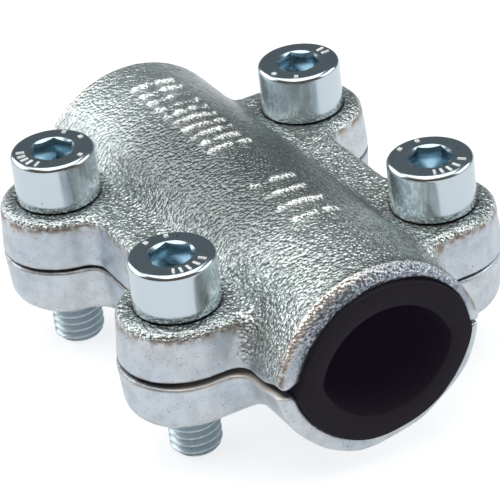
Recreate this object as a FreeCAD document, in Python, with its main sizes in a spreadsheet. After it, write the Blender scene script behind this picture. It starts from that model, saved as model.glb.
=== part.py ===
import FreeCAD, Part
import math
import os

import Sketcher
from FreeCAD import Placement, Rotation, Vector

# A pipe repair clamp. Two half shells are drawn together round a rubber sleeve by four cap screws.
# +X runs along the pipe, +Y across it and +Z up. The origin is the middle of the bore, on the
# parting plane. All lengths are in millimetres and all angles in degrees.

SIZES = [
    ("ScrewAlong", 19.5, "screw axis from the middle, along the pipe"),
    ("ScrewAcross", 21.7, "screw axis from the middle, across the pipe"),
    ("PartingHalf", 0.15, "half of the gap between the two shells"),
    ("ArcShift", 2.5, "how far each shell's arc centre lies beyond the parting plane"),
    ("BarrelLength", 79.0, "length of both shells along the pipe"),
    ("BarrelRadius", 17.2, "outside radius of a shell's barrel"),
    ("BoreRadius", 15.05, "inside radius of a shell's barrel"),
    ("PartingRound", 0.4, "rounding of a shell's outer edge at the parting plane"),
    ("EndRound", 0.6, "rounding of the barrel's outer end edges"),
    ("EarRadius", 9.8, "radius of an ear round its screw, at the parting plane"),
    ("EarTop", 8.1, "height of the upper ears' seats above the parting plane"),
    ("EarBase", 8.7, "depth of the lower ears below the parting plane"),
    ("EarDraft", 4.5, "casting draft of the ears' side walls"),
    ("WebAcross", 21.2, "web between two ears, from the middle to its side wall"),
    ("WebFillet", 3.0, "hollow corner between an ear and the web"),
    ("EarTopRound", 1.4, "rounding of the upper ears' edges round their seats"),
    ("EarBaseRound", 3.0, "rounding of the lower ears' edges at their undersides"),
    ("BarrelFillet", 2.8, "hollow corner between the ears and the barrel"),
    ("ClearanceRadius", 4.5, "radius of the upper shell's screw holes"),
    ("MarkWidth", 1.1, "width of one raised mark"),
    ("MarkHeight", 0.45, "height of a raised mark above the barrel"),
    ("MarkRoot", 0.5, "how far a mark reaches down into the barrel"),
    ("MarkLow", -8.0, "angle from the top where the marks begin"),
    ("MarkHigh", 17.0, "angle from the top where the marks end"),
    ("LongRowStart", -31.1, "place of the long row's first mark along the pipe"),
    ("LongRowPitch", 2.8, "distance between the long row's marks"),
    ("LongRowCount", 10, "number of marks in the long row"),
    ("ShortRowStart", 7.5, "place of the short row's first mark along the pipe"),
    ("ShortRowPitch", 4.1, "distance between the short row's marks"),
    ("ShortRowCount", 4, "number of marks in the short row"),
    ("ThreadPitch", 1.25, "pitch of the M8 thread"),
    ("ThreadMajor", 3.95, "outside radius of a screw's thread"),
    ("ThreadRoot", 3.23, "root radius of a screw's thread"),
    ("RootFlat", 0.2, "width of the groove's floor in a screw's thread"),
    ("TapDrill", 3.4, "radius of a tapped hole's thread tips"),
    ("TapMajor", 4.1, "radius of a tapped hole's thread roots"),
    ("TapFlat", 0.16, "width of the groove's floor in a tapped hole"),
    ("TipChamfer", 0.8, "bevel at a screw's tip"),
    ("ThreadRelief", 0.8, "plain length between a screw's thread and its head"),
    ("ScrewLength", 25.0, "length of a screw under its head"),
    ("HeadRadius", 6.5, "radius of a screw head"),
    ("HeadHeight", 8.0, "height of a screw head"),
    ("HeadRound", 0.8, "rounding of a head's upper edge"),
    ("SocketFlats", 6.0, "hexagon socket across its flats"),
    ("SocketDepth", 4.6, "depth of the hexagon socket"),
    ("SocketCone", 0.1, "reach of the shallow cone beyond the socket's corners"),
    ("FloorInset", 0.1, "distance from the socket's flats to the cone in its floor"),
    ("SleeveRadius", 15.0, "outside radius of the rubber sleeve's two arcs"),
    ("SleeveWall", 4.0, "wall of the rubber sleeve"),
    ("SleeveLength", 80.8, "length of the rubber sleeve"),
    ("SleeveSlit", 0.12, "width of the closed slit along the sleeve"),
    ("SleeveCorner", 2.2, "rounding of the sleeve's two long corners"),
    ("CutSpare", 1.0, "how far a cut runs past the face that it starts from"),
    ("GrooveSpare", 0.05, "how far a thread's cutting profile stands out of the metal"),
]
VALUE = {name: value for name, value, note in SIZES}

ORIGIN = (-1, 1)
AXIS_H = -1
AXIS_V = -2
START, END, CENTRE = 1, 2, 3
FLANK = math.tan(math.radians(30))
# A screw's thread starts this many turns below its tip.
LEAD_TURNS = 1.5
# Two lengths that differ by less than this are the same.
TOUCH = 1e-3
# Each screw's side along the pipe, its side across the pipe, and how far its socket is turned.
SCREWS = {
    "screw_front_left": (1, -1, 15),
    "screw_front_right": (1, 1, 30),
    "screw_rear_left": (-1, -1, 0),
    "screw_rear_right": (-1, 1, 20),
}


def write_sheet(doc):
    sheet = doc.addObject("Spreadsheet::Sheet", "Sizes")
    for row, (name, value, note) in enumerate(SIZES, 1):
        sheet.set(f"A{row}", name)
        sheet.set(f"B{row}", str(value))
        sheet.set(f"C{row}", note)
        sheet.setAlias(f"B{row}", name)
    doc.recompute()


def new_body(doc, name):
    body = doc.addObject("PartDesign::Body", name)
    body.Label = name
    return body


def origin_part(body, role):
    return next(o for o in body.Origin.OriginFeatures if o.Role == role)


def new_sketch(body, name, plane):
    sketch = body.newObject("Sketcher::SketchObject", name)
    sketch.AttachmentSupport = [(origin_part(body, plane), "")]
    sketch.MapMode = "FlatFace"
    return sketch


def arc(sketch, x, y, radius, start, end):
    circle = Part.Circle(Vector(x, y, 0), Vector(0, 0, 1), radius)
    curve = Part.ArcOfCircle(circle, math.radians(start), math.radians(end))
    return sketch.addGeometry(curve)


def line(sketch, x1, y1, x2, y2):
    return sketch.addGeometry(Part.LineSegment(Vector(x1, y1, 0), Vector(x2, y2, 0)))


def rule(sketch, *terms):
    return sketch.addConstraint(Sketcher.Constraint(*terms))


def size_rule(sketch, expression, kind, *terms):
    """A dimension taken from the sheet. The first value only has to be near the final one."""
    index = rule(sketch, kind, *terms)
    sketch.setExpression(f"Constraints[{index}]", expression)


def ring_on_barrel(sketch, side, radius, radius_name, shift_name="ArcShift"):
    """A closed half lens: an arc about a point beyond the parting plane, cut off by a chord."""
    shift = VALUE[shift_name]
    level = VALUE["PartingHalf"]
    rise = math.degrees(math.asin((level + shift) / radius))
    reach = math.sqrt(radius**2 - (level + shift) ** 2)
    if side > 0:
        bow = arc(sketch, 0, -shift, radius, rise, 180 - rise)
        chord = line(sketch, -reach, level, reach, level)
    else:
        bow = arc(sketch, 0, shift, radius, 180 + rise, 360 - rise)
        chord = line(sketch, reach, -level, -reach, -level)
    rule(sketch, "Coincident", bow, END, chord, START)
    rule(sketch, "Coincident", chord, END, bow, START)
    rule(sketch, "PointOnObject", bow, CENTRE, AXIS_V)
    rule(sketch, "Horizontal", chord)
    size_rule(sketch, f"Sizes.{radius_name}", "Radius", bow, radius)
    centre, origin = (bow, CENTRE), ORIGIN
    below, above = (centre, origin) if side > 0 else (origin, centre)
    size_rule(sketch, f"Sizes.{shift_name}", "DistanceY", *below, *above, shift)
    below, above = (ORIGIN, (chord, START)) if side > 0 else ((chord, START), ORIGIN)
    size_rule(sketch, "Sizes.PartingHalf", "DistanceY", *below, *above, level)


def ear_outline(sketch):
    """The plan of the four ears and the two webs, as one smooth closed outline."""
    a, b, r = VALUE["ScrewAlong"], VALUE["ScrewAcross"], VALUE["EarRadius"]
    web, hollow = VALUE["WebAcross"], VALUE["WebFillet"]
    drop = web + hollow - b
    turn = math.degrees(math.asin(drop / (r + hollow)))
    inner = a - math.sqrt((r + hollow) ** 2 - drop**2)
    loop = [
        (line(sketch, a + r, -b, a + r, b), START, END),
        (arc(sketch, a, b, r, 0, 180 - turn), START, END),
        (arc(sketch, inner, web + hollow, hollow, 270, 360 - turn), END, START),
        (line(sketch, inner, web, -inner, web), START, END),
        (arc(sketch, -inner, web + hollow, hollow, 180 + turn, 270), END, START),
        (arc(sketch, -a, b, r, turn, 180), START, END),
        (line(sketch, -a - r, b, -a - r, -b), START, END),
        (arc(sketch, -a, -b, r, 180, 360 - turn), START, END),
        (arc(sketch, -inner, -web - hollow, hollow, 90, 180 - turn), END, START),
        (line(sketch, -inner, -web, inner, -web), START, END),
        (arc(sketch, inner, -web - hollow, hollow, turn, 90), END, START),
        (arc(sketch, a, -b, r, 180 + turn, 360), START, END),
    ]
    for (here, _, leave), (there, enter, _) in zip(loop, loop[1:] + loop[:1]):
        rule(sketch, "Tangent", here, leave, there, enter)
    ears = [loop[i][0] for i in (1, 5, 7, 11)]
    hollows = [loop[i][0] for i in (2, 4, 8, 10)]
    for group, name, value in ((ears, "EarRadius", r), (hollows, "WebFillet", hollow)):
        size_rule(sketch, f"Sizes.{name}", "Radius", group[0], value)
        for other in group[1:]:
            rule(sketch, "Equal", group[0], other)
    size_rule(sketch, "Sizes.ScrewAlong", "DistanceX", *ORIGIN, ears[0], CENTRE, a)
    size_rule(sketch, "Sizes.ScrewAcross", "DistanceY", *ORIGIN, ears[0], CENTRE, b)
    rule(sketch, "Symmetric", ears[0], CENTRE, ears[1], CENTRE, AXIS_V)
    rule(sketch, "Symmetric", ears[0], CENTRE, ears[3], CENTRE, AXIS_H)
    rule(sketch, "Symmetric", ears[1], CENTRE, ears[2], CENTRE, AXIS_H)
    top, bottom = loop[3][0], loop[9][0]
    rule(sketch, "Horizontal", top)
    rule(sketch, "Horizontal", bottom)
    size_rule(sketch, "Sizes.WebAcross", "DistanceY", *ORIGIN, top, START, web)
    size_rule(sketch, "Sizes.WebAcross", "DistanceY", bottom, START, *ORIGIN, web)


def bind(feature, **expressions):
    for name, expression in expressions.items():
        feature.setExpression(name, expression)


def extrude(body, kind, name, sketch, **expressions):
    feature = body.newObject(f"PartDesign::{kind}", name)
    feature.Profile = sketch
    bind(feature, **expressions)
    return feature


def edges_where(shape, test):
    return [f"Edge{n}" for n, edge in enumerate(shape.Edges, 1) if test(edge)]


def points_on(edge):
    return edge.discretize(5)


def round_edges(body, name, base, test, radius_name):
    body.Document.recompute()
    feature = body.newObject("PartDesign::Fillet", name)
    feature.Base = (base, edges_where(base.Shape, test))
    feature.setExpression("Radius", f"Sizes.{radius_name}")
    return feature


def at_level(z):
    return lambda edge: all(abs(p.z - z) < TOUCH for p in points_on(edge))


def on_barrel_beside_ears(side):
    """The edges where the ear block runs into the outside of the barrel."""

    def test(edge):
        axis_z = -side * VALUE["ArcShift"]
        limit = VALUE["BarrelLength"] / 2 - TOUCH
        return all(
            abs(math.hypot(p.y, p.z - axis_z) - VALUE["BarrelRadius"]) < TOUCH
            and abs(p.x) < limit
            for p in points_on(edge)
        ) and any(abs(p.z) > VALUE["PartingHalf"] + TOUCH for p in points_on(edge))

    return test


def on_barrel_end(side, radius):
    """The curved edges of the barrel's two end faces that have this radius."""

    def test(edge):
        axis_z = -side * VALUE["ArcShift"]
        end = VALUE["BarrelLength"] / 2
        return all(
            abs(math.hypot(p.y, p.z - axis_z) - radius) < TOUCH and abs(abs(p.x) - end) < TOUCH
            for p in points_on(edge)
        )

    return test


def add_ears(body, side):
    plan = new_sketch(body, body.Name + "_ear_plan", "XY_Plane")
    ear_outline(plan)
    sign = "" if side > 0 else "-"
    plan.setExpression("AttachmentOffset.Base.z", f"{sign}Sizes.PartingHalf")
    outer = "EarTop" if side > 0 else "EarBase"
    length = f"Sizes.{outer} - Sizes.PartingHalf"
    ears = extrude(body, "Pad", body.Name + "_ears", plan, Length=length)
    ears.setExpression("TaperAngle", "-Sizes.EarDraft")
    ears.Reversed = side < 0
    rim = at_level(side * VALUE[outer])
    return round_edges(body, body.Name + "_ear_round", ears, rim, outer + "Round")


def add_barrel(body, side):
    section = new_sketch(body, body.Name + "_barrel_section", "YZ_Plane")
    ring_on_barrel(section, side, VALUE["BarrelRadius"], "BarrelRadius")
    barrel = extrude(body, "Pad", body.Name + "_barrel", section, Length="Sizes.BarrelLength")
    barrel.SideType = "Symmetric"
    hollow = on_barrel_beside_ears(side)
    blend = round_edges(body, body.Name + "_blend", barrel, hollow, "BarrelFillet")
    end = on_barrel_end(side, VALUE["BarrelRadius"])
    ends = round_edges(body, body.Name + "_end_round", blend, end, "EndRound")
    seam = at_level(side * VALUE["PartingHalf"])
    return round_edges(body, body.Name + "_parting_round", ends, seam, "PartingRound")


def cut_bore(body, side):
    section = new_sketch(body, body.Name + "_bore_section", "YZ_Plane")
    ring_on_barrel(section, side, VALUE["BoreRadius"], "BoreRadius")
    through = "Sizes.BarrelLength + 2 * Sizes.CutSpare"
    bore = extrude(body, "Pocket", body.Name + "_bore", section, Length=through)
    bore.SideType = "Symmetric"
    return bore


def hole_sketch(body, name, radius_name):
    """One circle on the rear left screw's axis. A pattern repeats it on the other three."""
    sketch = new_sketch(body, name, "XY_Plane")
    x, y, radius = VALUE["ScrewAlong"], VALUE["ScrewAcross"], VALUE[radius_name]
    circle = sketch.addGeometry(Part.Circle(Vector(-x, -y, 0), Vector(0, 0, 1), radius))
    size_rule(sketch, f"Sizes.{radius_name}", "Radius", circle, radius)
    size_rule(sketch, "Sizes.ScrewAlong", "DistanceX", circle, CENTRE, *ORIGIN, x)
    size_rule(sketch, "Sizes.ScrewAcross", "DistanceY", circle, CENTRE, *ORIGIN, y)
    return sketch


def repeat_on_screws(body, name, features):
    pattern = body.newObject("PartDesign::LinearPattern", name)
    pattern.Originals = features
    pattern.Direction = (origin_part(body, "X_Axis"), [""])
    pattern.Direction2 = (origin_part(body, "Y_Axis"), [""])
    bind(pattern, Length="2 * Sizes.ScrewAlong", Length2="2 * Sizes.ScrewAcross")
    pattern.Occurrences = 2
    pattern.Occurrences2 = 2
    body.Tip = pattern
    return pattern


def cut_clearance_holes(body):
    sketch = hole_sketch(body, body.Name + "_hole_plan", "ClearanceRadius")
    hole = extrude(body, "Pocket", body.Name + "_hole", sketch)
    hole.Type = "ThroughAll"
    hole.Reversed = True
    return repeat_on_screws(body, body.Name + "_holes", [hole])


def groove_profile(sketch, floor, floor_flat, mouth, level):
    """A thread groove with 30 degree flanks, drawn on the screw's axis."""
    wide = floor_flat / 2 + abs(mouth - floor) * FLANK
    corners = [
        (floor, level - floor_flat / 2),
        (mouth, level - wide),
        (mouth, level + wide),
        (floor, level + floor_flat / 2),
    ]
    sides = [line(sketch, *p, *q) for p, q in zip(corners, corners[1:] + corners[:1])]
    for here, there in zip(sides, sides[1:] + sides[:1]):
        rule(sketch, "Coincident", here, END, there, START)
    for side in sides:
        rule(sketch, "Block", side)


def helix(body, name, sketch, turns):
    feature = body.newObject("PartDesign::SubtractiveHelix", name)
    feature.Profile = sketch
    feature.ReferenceAxis = (sketch, ["V_Axis"])
    feature.Mode = "pitch-height-angle"
    bind(feature, Pitch="Sizes.ThreadPitch", Height=f"{turns} * Sizes.ThreadPitch")
    return feature


def cut_tapped_holes(body):
    sketch = hole_sketch(body, body.Name + "_drill_plan", "TapDrill")
    drill = extrude(body, "Pocket", body.Name + "_drill", sketch)
    drill.Type = "ThroughAll"
    groove = new_sketch(body, body.Name + "_tap_profile", "XZ_Plane")
    groove.setExpression("AttachmentOffset.Base.x", "-Sizes.ScrewAlong")
    groove.setExpression("AttachmentOffset.Base.z", "Sizes.ScrewAcross")
    pitch = VALUE["ThreadPitch"]
    start = thread_start() + pitch / 2
    start += pitch * math.floor((-VALUE["EarBase"] - pitch - start) / pitch)
    turns = math.ceil((VALUE["EarBase"] + 2 * pitch) / pitch) + 1
    mouth = VALUE["TapDrill"] - VALUE["GrooveSpare"]
    groove_profile(groove, VALUE["TapMajor"], VALUE["TapFlat"], mouth, start)
    tap = helix(body, body.Name + "_tap", groove, turns)
    return repeat_on_screws(body, body.Name + "_tapped_holes", [drill, tap])


def thread_start():
    """Height of a screw's first groove, where its helix crosses the plane through its axis."""
    tip = VALUE["EarTop"] - VALUE["ScrewLength"]
    return tip - LEAD_TURNS * VALUE["ThreadPitch"]


def mark_outline(section):
    """A thin strip that follows the top of the barrel, from MarkLow round to MarkHigh."""
    low, high = 90 - VALUE["MarkHigh"], 90 - VALUE["MarkLow"]
    inner = VALUE["BarrelRadius"] - VALUE["MarkRoot"]
    outer = VALUE["BarrelRadius"] + VALUE["MarkHeight"]
    shift = VALUE["ArcShift"]
    arcs = [arc(section, 0, -shift, r, low, high) for r in (inner, outer)]
    ends = []
    for angle in (low, high):
        c, s = math.cos(math.radians(angle)), math.sin(math.radians(angle))
        ends.append(line(section, inner * c, inner * s - shift, outer * c, outer * s - shift))
    for side, point in zip(ends, (START, END)):
        rule(section, "Coincident", side, START, arcs[0], point)
        rule(section, "Coincident", side, END, arcs[1], point)
    rule(section, "Coincident", arcs[0], CENTRE, arcs[1], CENTRE)
    rule(section, "PointOnObject", arcs[0], CENTRE, AXIS_V)
    size_rule(section, "Sizes.ArcShift", "DistanceY", arcs[0], CENTRE, *ORIGIN, shift)
    for side, angle in zip(ends, ("MarkHigh", "MarkLow")):
        rule(section, "PointOnObject", arcs[0], CENTRE, side)
        turn = math.radians(90 - VALUE[angle])
        size_rule(section, f"(90 - Sizes.{angle}) * 1 deg", "Angle", side, turn)
    size_rule(section, "Sizes.BarrelRadius - Sizes.MarkRoot", "Radius", arcs[0], inner)
    size_rule(section, "Sizes.BarrelRadius + Sizes.MarkHeight", "Radius", arcs[1], outer)


def add_marks(body, row):
    """A row of plain raised bars along the top of the barrel."""
    section = new_sketch(body, f"{body.Name}_{row}_section", "YZ_Plane")
    section.setExpression("AttachmentOffset.Base.z", f"Sizes.{row}Start")
    mark_outline(section)
    mark = extrude(body, "Pad", f"{body.Name}_{row}_mark", section, Length="Sizes.MarkWidth")
    pattern = body.newObject("PartDesign::LinearPattern", f"{body.Name}_{row}")
    pattern.Originals = [mark]
    pattern.Direction = (origin_part(body, "X_Axis"), [""])
    length = f"(Sizes.{row}Count - 1) * Sizes.{row}Pitch"
    bind(pattern, Length=length, Occurrences=f"Sizes.{row}Count")
    body.Tip = pattern
    return pattern


def make_upper_shell(doc):
    body = new_body(doc, "upper_shell")
    add_ears(body, 1)
    add_barrel(body, 1)
    add_marks(body, "LongRow")
    add_marks(body, "ShortRow")
    cut_bore(body, 1)
    cut_clearance_holes(body)
    return body


def make_lower_shell(doc):
    body = new_body(doc, "lower_shell")
    add_ears(body, -1)
    add_barrel(body, -1)
    cut_bore(body, -1)
    cut_tapped_holes(body)
    return body


def screw_profile(sketch):
    """Half of a cap screw's section: shank with a bevelled tip, then the head."""
    r, c = VALUE["ThreadMajor"], VALUE["TipChamfer"]
    length, height, head = VALUE["ScrewLength"], VALUE["HeadHeight"], VALUE["HeadRadius"]
    corners = [
        (0, -length),
        (r - c, -length),
        (r, c - length),
        (r, 0),
        (head, 0),
        (head, height),
        (0, height),
    ]
    sides = [line(sketch, *p, *q) for p, q in zip(corners, corners[1:] + corners[:1])]
    for here, there in zip(sides, sides[1:] + sides[:1]):
        rule(sketch, "Coincident", here, END, there, START)
    tip, bevel, shank, seat, rim, top, axis = sides
    for level in (tip, seat, top):
        rule(sketch, "Horizontal", level)
    for upright in (shank, rim, axis):
        rule(sketch, "Vertical", upright)
    rule(sketch, "PointOnObject", tip, START, AXIS_V)
    rule(sketch, "PointOnObject", seat, START, AXIS_H)
    size_rule(sketch, "Sizes.ScrewLength", "DistanceY", tip, START, *ORIGIN, length)
    size_rule(sketch, "Sizes.HeadHeight", "DistanceY", *ORIGIN, top, END, height)
    size_rule(sketch, "Sizes.HeadRadius", "DistanceX", *ORIGIN, rim, START, head)
    size_rule(sketch, "Sizes.ThreadMajor", "DistanceX", *ORIGIN, seat, START, r)
    size_rule(sketch, "Sizes.TipChamfer", "DistanceX", bevel, START, bevel, END, c)
    size_rule(sketch, "Sizes.TipChamfer", "DistanceY", bevel, START, bevel, END, c)


def hexagon(sketch):
    """A regular hexagon held by its corner circle, with one pair of flats across the X axis."""
    corner = VALUE["SocketFlats"] / 2 / math.cos(math.radians(30))
    points = [
        (corner * math.sin(math.radians(60 * n)), corner * math.cos(math.radians(60 * n)))
        for n in range(6)
    ]
    sides = [line(sketch, *p, *q) for p, q in zip(points, points[1:] + points[:1])]
    ring = sketch.addGeometry(Part.Circle(Vector(0, 0, 0), Vector(0, 0, 1), corner), True)
    rule(sketch, "Coincident", ring, CENTRE, *ORIGIN)
    for here, there in zip(sides, sides[1:] + sides[:1]):
        rule(sketch, "Coincident", here, END, there, START)
        rule(sketch, "PointOnObject", here, START, ring)
    for side in sides[1:]:
        rule(sketch, "Equal", sides[0], side)
    rule(sketch, "PointOnObject", sides[0], START, AXIS_V)
    size_rule(sketch, "Sizes.SocketFlats / 2 / cos(30)", "Radius", ring, corner)


def cone_profile(sketch, level_name, level, reach_name, reach):
    """A right triangle on the screw's axis, turned into a shallow cone by a groove."""
    depth = reach * FLANK
    corners = [(0, level), (reach, level), (0, level - depth)]
    sides = [line(sketch, *p, *q) for p, q in zip(corners, corners[1:] + corners[:1])]
    for here, there in zip(sides, sides[1:] + sides[:1]):
        rule(sketch, "Coincident", here, END, there, START)
    rule(sketch, "Horizontal", sides[0])
    rule(sketch, "Vertical", sides[2])
    rule(sketch, "PointOnObject", sides[0], START, AXIS_V)
    size_rule(sketch, level_name, "DistanceY", *ORIGIN, sides[0], START, level)
    size_rule(sketch, reach_name, "DistanceX", sides[0], START, sides[0], END, reach)
    depth_name = f"({reach_name}) * tan(30)"
    size_rule(sketch, depth_name, "DistanceY", sides[2], START, sides[2], END, depth)


def turn_away(body, name, sketch):
    feature = body.newObject("PartDesign::Groove", name)
    feature.Profile = sketch
    feature.ReferenceAxis = (sketch, ["V_Axis"])
    feature.Angle = 360
    return feature


def cut_socket(body, turn):
    plan = new_sketch(body, body.Name + "_socket_plan", "XY_Plane")
    hexagon(plan)
    plan.AttachmentOffset = Placement(Vector(), Rotation(Vector(0, 0, 1), turn))
    plan.setExpression("AttachmentOffset.Base.z", "Sizes.HeadHeight")
    extrude(body, "Pocket", body.Name + "_socket", plan, Length="Sizes.SocketDepth")
    height, depth, flats = VALUE["HeadHeight"], VALUE["SocketDepth"], VALUE["SocketFlats"]
    mouth = flats / 2 / math.cos(math.radians(30)) + VALUE["SocketCone"]
    mouth_name = "Sizes.SocketFlats / 2 / cos(30) + Sizes.SocketCone"
    cone = new_sketch(body, body.Name + "_cone_section", "XZ_Plane")
    cone_profile(cone, "Sizes.HeadHeight", height, mouth_name, mouth)
    turn_away(body, body.Name + "_cone", cone)
    floor = new_sketch(body, body.Name + "_floor_section", "XZ_Plane")
    reach = flats / 2 - VALUE["FloorInset"]
    reach_name = "Sizes.SocketFlats / 2 - Sizes.FloorInset"
    level_name = "Sizes.HeadHeight - Sizes.SocketDepth"
    cone_profile(floor, level_name, height - depth, reach_name, reach)
    return turn_away(body, body.Name + "_floor", floor)


def cut_thread(body):
    groove = new_sketch(body, body.Name + "_thread_profile", "XZ_Plane")
    level = thread_start() - VALUE["EarTop"]
    root, major = VALUE["ThreadRoot"], VALUE["ThreadMajor"]
    groove_profile(groove, root, VALUE["RootFlat"], major + VALUE["GrooveSpare"], level)
    turns = math.floor((-level - VALUE["ThreadRelief"]) / VALUE["ThreadPitch"])
    return helix(body, body.Name + "_thread", groove, turns)


def make_screw(doc, name, along, across, turn):
    body = new_body(doc, name)
    section = new_sketch(body, name + "_section", "XZ_Plane")
    screw_profile(section)
    solid = body.newObject("PartDesign::Revolution", name + "_solid")
    solid.Profile = section
    solid.ReferenceAxis = (section, ["V_Axis"])
    solid.Angle = 360
    top = at_level(VALUE["HeadHeight"])
    round_edges(body, name + "_head_round", solid, top, "HeadRound")
    cut_socket(body, turn)
    cut_thread(body)
    body.setExpression("Placement.Base.x", f"{along} * Sizes.ScrewAlong")
    body.setExpression("Placement.Base.y", f"{across} * Sizes.ScrewAcross")
    body.setExpression("Placement.Base.z", "Sizes.EarTop")
    return body


def lens(sketch, radius, expression):
    """Two long arcs that bow apart, joined by a small round corner at each side."""
    shift, corner = VALUE["ArcShift"], VALUE["SleeveCorner"]
    middle = math.sqrt((radius - corner) ** 2 - shift**2)
    turn = math.degrees(math.atan2(shift, middle))
    upper = arc(sketch, 0, -shift, radius, turn, 180 - turn)
    left = arc(sketch, -middle, 0, corner, 180 - turn, 180 + turn)
    lower = arc(sketch, 0, shift, radius, 180 + turn, 360 - turn)
    right = arc(sketch, middle, 0, corner, -turn, turn)
    loop = [upper, left, lower, right]
    for here, there in zip(loop, loop[1:] + loop[:1]):
        rule(sketch, "Tangent", here, END, there, START)
    rule(sketch, "PointOnObject", upper, CENTRE, AXIS_V)
    rule(sketch, "Equal", upper, lower)
    rule(sketch, "Equal", left, right)
    rule(sketch, "PointOnObject", left, CENTRE, AXIS_H)
    rule(sketch, "PointOnObject", right, CENTRE, AXIS_H)
    size_rule(sketch, expression, "Radius", upper, radius)
    size_rule(sketch, "Sizes.SleeveCorner", "Radius", left, corner)
    size_rule(sketch, "Sizes.ArcShift", "DistanceY", upper, CENTRE, *ORIGIN, shift)


def slit_outline(sketch):
    """A thin rectangle across the sleeve's wall, on the -Y side."""
    half = VALUE["SleeveSlit"] / 2
    near = VALUE["SleeveRadius"] - VALUE["SleeveWall"] - VALUE["CutSpare"]
    reach = VALUE["SleeveRadius"] + VALUE["CutSpare"]
    corners = [(-reach, -half), (-near, -half), (-near, half), (-reach, half)]
    sides = [line(sketch, *p, *q) for p, q in zip(corners, corners[1:] + corners[:1])]
    for here, there in zip(sides, sides[1:] + sides[:1]):
        rule(sketch, "Coincident", here, END, there, START)
    bottom, inside, top, outside = sides
    rule(sketch, "Horizontal", bottom)
    rule(sketch, "Horizontal", top)
    rule(sketch, "Vertical", outside)
    rule(sketch, "Symmetric", inside, START, inside, END, AXIS_H)
    size_rule(sketch, "Sizes.SleeveSlit", "DistanceY", inside, START, inside, END, 2 * half)
    near_name = "Sizes.SleeveRadius - Sizes.SleeveWall - Sizes.CutSpare"
    size_rule(sketch, near_name, "DistanceX", inside, START, *ORIGIN, near)
    reach_name = "Sizes.SleeveRadius + Sizes.CutSpare"
    size_rule(sketch, reach_name, "DistanceX", outside, START, *ORIGIN, reach)


def make_sleeve(doc):
    body = new_body(doc, "seal_sleeve")
    outside = new_sketch(body, "sleeve_outside", "YZ_Plane")
    lens(outside, VALUE["SleeveRadius"], "Sizes.SleeveRadius")
    solid = extrude(body, "Pad", "sleeve_solid", outside, Length="Sizes.SleeveLength")
    solid.SideType = "Symmetric"
    inside = new_sketch(body, "sleeve_inside", "YZ_Plane")
    radius = VALUE["SleeveRadius"] - VALUE["SleeveWall"]
    lens(inside, radius, "Sizes.SleeveRadius - Sizes.SleeveWall")
    slit = new_sketch(body, "sleeve_slit_outline", "YZ_Plane")
    slit_outline(slit)
    for name, sketch in (("sleeve_bore", inside), ("sleeve_slit", slit)):
        through = "Sizes.SleeveLength + 2 * Sizes.CutSpare"
        cut = extrude(body, "Pocket", name, sketch, Length=through)
        cut.SideType = "Symmetric"
    return body


def check(doc, bodies):
    """Stop if any object failed, or any sub-part isn't one sound solid."""
    doc.recompute()
    for item in doc.Objects:
        if "Invalid" in item.State or "Error" in item.State:
            raise RuntimeError(f"{item.Name} is {item.State}")
        if item.TypeId == "Sketcher::SketchObject" and item.solve() != 0:
            raise RuntimeError(f"{item.Name} doesn't solve")
    for body in bodies:
        shape = body.Shape
        if shape.isNull() or not shape.isValid() or len(shape.Solids) != 1:
            raise RuntimeError(f"{body.Label} isn't one sound solid")


def main():
    doc = FreeCAD.newDocument("pipe_repair_clamp")
    write_sheet(doc)
    bodies = [make_lower_shell(doc), make_upper_shell(doc), make_sleeve(doc)]
    for name, (along, across, turn) in SCREWS.items():
        bodies.append(make_screw(doc, name, along, across, turn))
    check(doc, bodies)
    os.makedirs("parts", exist_ok=True)
    for body in bodies:
        body.Shape.exportStep(f"parts/{body.Label}.step")
        print(body.Label, round(body.Shape.Volume, 1))


main()
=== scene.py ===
import math

import bpy
import numpy as np
from mathutils import Matrix, Vector


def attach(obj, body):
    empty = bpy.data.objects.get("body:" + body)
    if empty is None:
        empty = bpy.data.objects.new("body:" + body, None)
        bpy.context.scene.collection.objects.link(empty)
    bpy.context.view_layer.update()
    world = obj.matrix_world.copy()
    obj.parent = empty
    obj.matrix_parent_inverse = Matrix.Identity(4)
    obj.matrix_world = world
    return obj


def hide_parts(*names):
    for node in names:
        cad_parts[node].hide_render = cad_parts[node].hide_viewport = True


# A closed pipe repair clamp: two zinc-plated castings round a rubber sleeve, with four cap screws.
# Lengths in this script are in millimetres until a mesh is made. The frame is the CAD's: +X along
# the pipe, +Y across it, +Z up, with the origin in the middle of the bore.

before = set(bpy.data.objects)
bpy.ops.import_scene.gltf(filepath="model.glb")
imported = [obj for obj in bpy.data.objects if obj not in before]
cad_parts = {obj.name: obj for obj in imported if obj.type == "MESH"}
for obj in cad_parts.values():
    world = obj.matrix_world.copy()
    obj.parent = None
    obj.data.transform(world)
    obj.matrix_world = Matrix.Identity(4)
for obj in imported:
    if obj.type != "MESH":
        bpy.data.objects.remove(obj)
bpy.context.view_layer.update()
MM = 0.001

# The castings. Each shell's arc centre lies ARC_SHIFT beyond the parting plane.
SCREW_X, SCREW_Y, SEAT_Z = 19.5, 21.7, 8.1
ARC_SHIFT = 2.5
BARREL_R, BORE_R = 17.2, 15.05
BARREL_HALF = 39.5
UPPER, LOWER = 1, -1
VOXEL, QUICK_VOXEL = 0.3, 0.4
# The barrel and the sleeve sit this far towards the front, and the skin this far towards -Y.
SHIFT_ALONG, SHIFT_ACROSS = 0.4, 0.4
# The rows of raised marks on the barrel: first place, pitch and count along the pipe. The marks
# run between two angles from the top, in degrees.
MARK_ROWS = ((-31.1, 2.8, 10), (7.5, 4.1, 4))
MARK_LOW, MARK_HIGH = -8.0, 17.0
MARK_WIDTH, MARK_HEIGHT = 1.1, 0.45
# The cast skin: height and grain size of its fine grain and of its broader waves.
GRAIN = ((0.050, 0.75, 0), (0.045, 0.45, 17))
WAVES = ((0.06, 6.0, 31), (0.025, 2.4, 47))

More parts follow.
